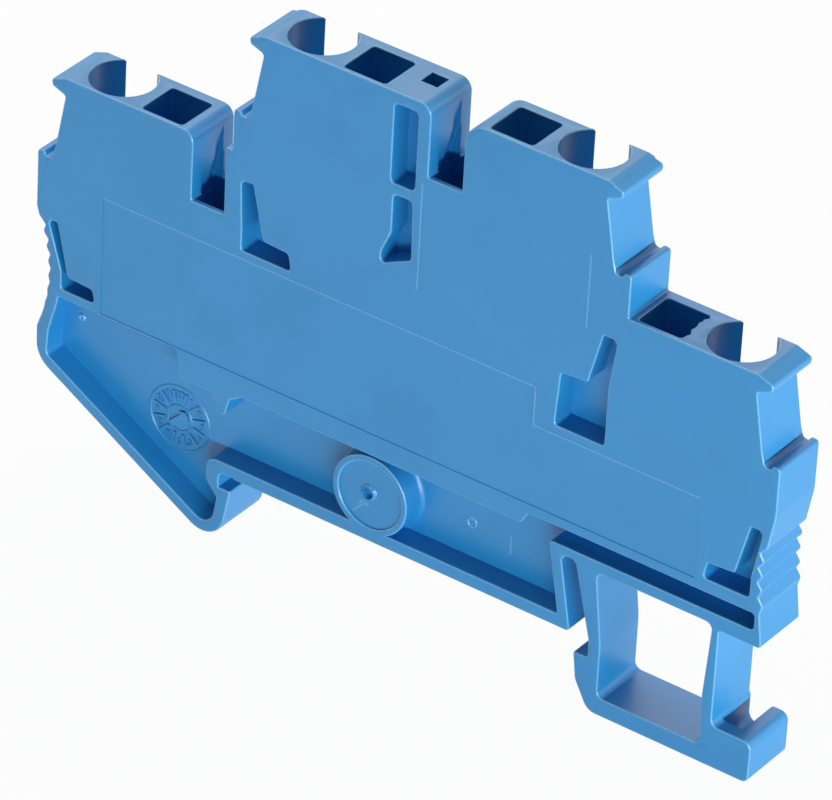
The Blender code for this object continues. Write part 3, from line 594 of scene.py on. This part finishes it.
class TERMINAL_OT_date_dial(bpy.types.Operator):
    """Raise the date dial of the mould on the recess floor"""
    bl_idname = "terminal.date_dial"
    bl_label = "Date dial"

    def execute(self, context):
        sizes = context.scene.block_sizes
        radius, relief = sizes.dial, sizes.relief
        parts = [ridge_ring("dial_rim", DIAL_CENTRE, radius, RIM_WIDTH * radius, relief),
                 ridge_ring("dial_hub", DIAL_CENTRE, HUB_RADIUS * radius, HUB_WIDTH * radius, relief)]
        for i in range(DIAL_NUMBERS):
            # The ticks stand half-way between the numbers
            turn = math.tau * (i + 0.5) / DIAL_NUMBERS
            spoke = Vector((math.sin(turn), 0, math.cos(turn)))
            parts.append(ridge_line("dial_tick", DIAL_CENTRE + TICK_START * radius * spoke,
                                    DIAL_CENTRE + TICK_END * radius * spoke, TICK_WIDTH * radius,
                                    TICK_HEIGHT * relief))
            turn = math.tau * (i + 1) / DIAL_NUMBERS
            spoke = Vector((math.sin(turn), 0, math.cos(turn)))
            parts.append(plain_number(str(i + 1), DIAL_CENTRE + NUMBER_PLACE * radius * spoke,
                                      NUMBER_SIZE * radius, NUMBER_HEIGHT * relief))
        ray = Vector((math.sin(math.radians(ARROW_DEGREES)), 0, math.cos(math.radians(ARROW_DEGREES))))
        side = Vector((ray.z, 0, -ray.x))
        tip = DIAL_CENTRE + ARROW_TIP * radius * ray
        parts.append(ridge_line("dial_arrow", DIAL_CENTRE - ARROW_TAIL * radius * ray, tip,
                                ARROW_WIDTH * radius, ARROW_HEIGHT * relief))
        for way in (-1, 1):
            barb = tip - BARB_BACK * radius * ray + way * BARB_OUT * radius * side
            parts.append(ridge_line("dial_barb", barb, tip, BARB_WIDTH * radius, BARB_HEIGHT * relief))
        dial = joined(parts, "date_dial")
        paint(dial, polyamide("polyamide_66_moulded", context.scene.block_colours.polyamide, MOULDED_ROUGH))
        dress(dial)
        return {"FINISHED"}


class TERMINAL_OT_tool_marks(bpy.types.Operator):
    """Raise the ejector mark, the pip and the fine lines of the mould"""
    bl_idname = "terminal.tool_marks"
    bl_label = "Tool marks"

    def execute(self, context):
        relief = context.scene.block_sizes.relief
        parts = [ridge_ring(name, centre, radius, width, share * relief)
                 for name, centre, radius, width, share in MARKS]
        for y, (x0, z0), (x1, z1) in LINES:
            parts.append(ridge_line("witness_line", (x0, y, z0), (x1, y, z1), LINE_WIDTH,
                                    LINE_HEIGHT * relief))
        marks = joined(parts, "tool_marks")
        # The marks take the paler edge colour, a painted highlight on them
        paint(marks, polyamide("polyamide_66_edge_highlight", context.scene.block_colours.edge, EDGE_ROUGH))
        dress(marks)
        return {"FINISHED"}


class TERMINAL_OT_bars(bpy.types.Operator):
    """Take the burr off the current bars and plate them with tin"""
    bl_idname = "terminal.bars"
    bl_label = "Current bars"

    def execute(self, context):
        for node, name in BARS.items():
            piece = merged_copy(node, name)
            round_edges(piece, is_sharp, context.scene.block_sizes.strip_edge)
            smooth(piece)
            paint(piece, metal("tinned_copper", context.scene.block_colours.tin, TIN_ROUGH, TIN_STREAK))
            dress(piece, [node])
        return {"FINISHED"}


class TERMINAL_OT_springs(bpy.types.Operator):
    """Take the burr off the cage springs and give them their rolled steel"""
    bl_idname = "terminal.springs"
    bl_label = "Cage springs"

    def execute(self, context):
        for node, name in SPRINGS.items():
            piece = merged_copy(node, name)
            round_edges(piece, is_sharp, context.scene.block_sizes.strip_edge)
            smooth(piece)
            paint(piece, metal("rolled_spring_steel", context.scene.block_colours.steel, STEEL_ROUGH,
                               STEEL_STREAK))
            dress(piece, [node])
        return {"FINISHED"}


class TERMINAL_OT_stage(bpy.types.Operator):
    """Set the pale floor, the soft lamps, the sky and the photograph's camera"""
    bl_idname = "terminal.stage"
    bl_label = "Stage"

    def execute(self, context):
        scene = context.scene
        settings = scene.stage_settings
        bpy.ops.object.select_all(action="DESELECT")
        bpy.ops.mesh.primitive_plane_add(size=settings.floor, location=(0, 0, FLOOR_Z))
        floor = context.object
        floor.name = "floor"
        bpy.ops.object.transform_apply(location=True, rotation=True, scale=True)
        floor.data.materials.append(self.floor_material())
        for name, azimuth, elevation, distance, width, height, power in LAMPS:
            back = direction(azimuth, elevation)
            bpy.ops.object.light_add(type="AREA", location=CAMERA_AIM + distance * back)
            lamp = context.object
            lamp.name = name
            lamp.rotation_mode = "QUATERNION"
            lamp.rotation_quaternion = back.to_track_quat("Z", "Y")
            lamp.data.shape = "RECTANGLE"
            lamp.data.size = width
            lamp.data.size_y = height
            lamp.data.energy = power * settings.lamps
        self.sky(scene, settings.sky)
        self.camera(scene)
        scene.view_settings.view_transform = "Standard"
        return {"FINISHED"}

    def floor_material(self):
        """White card: it scatters the lamps' light and shows as white, with the block's shadow."""
        material = bpy.data.materials.new("white_card")
        material.use_nodes = True
        tree = material.node_tree
        tree.nodes.clear()
        card = add(tree, "ShaderNodeBsdfDiffuse", {"Color": (CARD_WHITE, CARD_WHITE, CARD_WHITE, 1)}, {})
        glow = add(tree, "ShaderNodeEmission", {"Color": (1, 1, 1, 1), "Strength": 1}, {})
        seen = seen_directly(tree)
        share = add(tree, "ShaderNodeMath", {"operation": "MULTIPLY", 1: CARD_PLAIN}, {0: (seen, "Value")})
        both = add(tree, "ShaderNodeMixShader", {},
                   {0: (share, "Value"), 1: (card, "BSDF"), 2: (glow, "Emission")})
        add(tree, "ShaderNodeOutputMaterial", {}, {"Surface": (both, "Shader")})
        return material

    def sky(self, scene, strength):
        """White where it is seen, and a weaker even light on the block."""
        world = bpy.data.worlds.new("studio")
        scene.world = world
        world.use_nodes = True
        tree = world.node_tree
        tree.nodes.clear()
        seen = seen_directly(tree)
        level = add(tree, "ShaderNodeMapRange", {"To Min": strength, "To Max": 1}, {"Value": (seen, "Value")})
        sky = add(tree, "ShaderNodeBackground", {"Color": (1, 1, 1, 1)}, {"Strength": (level, "Result")})
        add(tree, "ShaderNodeOutputWorld", {}, {"Surface": (sky, "Background")})

    def camera(self, scene):
        """Camera at the photograph's angle."""
        back = direction(CAMERA_AZIMUTH, CAMERA_ELEVATION)
        right = Vector((0, 0, 1)).cross(back).normalized()
        turn = Matrix.Rotation(math.radians(CAMERA_ROLL), 3, back)
        right = turn @ right
        pose = Matrix((right, back.cross(right), back)).transposed().to_4x4()
        pose.translation = CAMERA_AIM + CAMERA_DISTANCE * back
        bpy.ops.object.camera_add()
        camera = bpy.context.object
        camera.matrix_world = pose
        camera.data.lens = CAMERA_LENS
        camera.data.sensor_width = CAMERA_SENSOR
        camera.data.clip_start = CAMERA_CLIP
        scene.camera = camera


class TERMINAL_PT_panel(bpy.types.Panel):
    """Lists the block's sizes, colours and pieces"""
    bl_idname = "TERMINAL_PT_panel"
    bl_label = "Terminal block"
    bl_space_type = "VIEW_3D"
    bl_region_type = "UI"
    bl_category = "Terminal block"

    def draw(self, context):
        for group in ("block_sizes", "block_colours", "stage_settings"):
            values = getattr(context.scene, group)
            box = self.layout.box()
            for name in values.__annotations__:
                box.prop(values, name)
        for operator in OPERATORS:
            self.layout.operator(operator.bl_idname)


GROUPS = {"block_sizes": BlockSizes, "block_colours": BlockColours, "stage_settings": StageSettings}
OPERATORS = (TERMINAL_OT_housing, TERMINAL_OT_date_dial, TERMINAL_OT_tool_marks, TERMINAL_OT_bars,
             TERMINAL_OT_springs, TERMINAL_OT_stage)


def register():
    for name, group in GROUPS.items():
        bpy.utils.register_class(group)
        setattr(bpy.types.Scene, name, bpy.props.PointerProperty(type=group))
    for operator in OPERATORS:
        bpy.utils.register_class(operator)
    bpy.utils.register_class(TERMINAL_PT_panel)


def unregister():
    bpy.utils.unregister_class(TERMINAL_PT_panel)
    for operator in reversed(OPERATORS):
        bpy.utils.unregister_class(operator)
    for name, group in GROUPS.items():
        delattr(bpy.types.Scene, name)
        bpy.utils.unregister_class(group)


def main():
    register()
    bpy.ops.terminal.housing()
    bpy.ops.terminal.date_dial()
    bpy.ops.terminal.tool_marks()
    bpy.ops.terminal.bars()
    bpy.ops.terminal.springs()
    bpy.ops.terminal.stage()


if __name__ == "__main__":
    main()
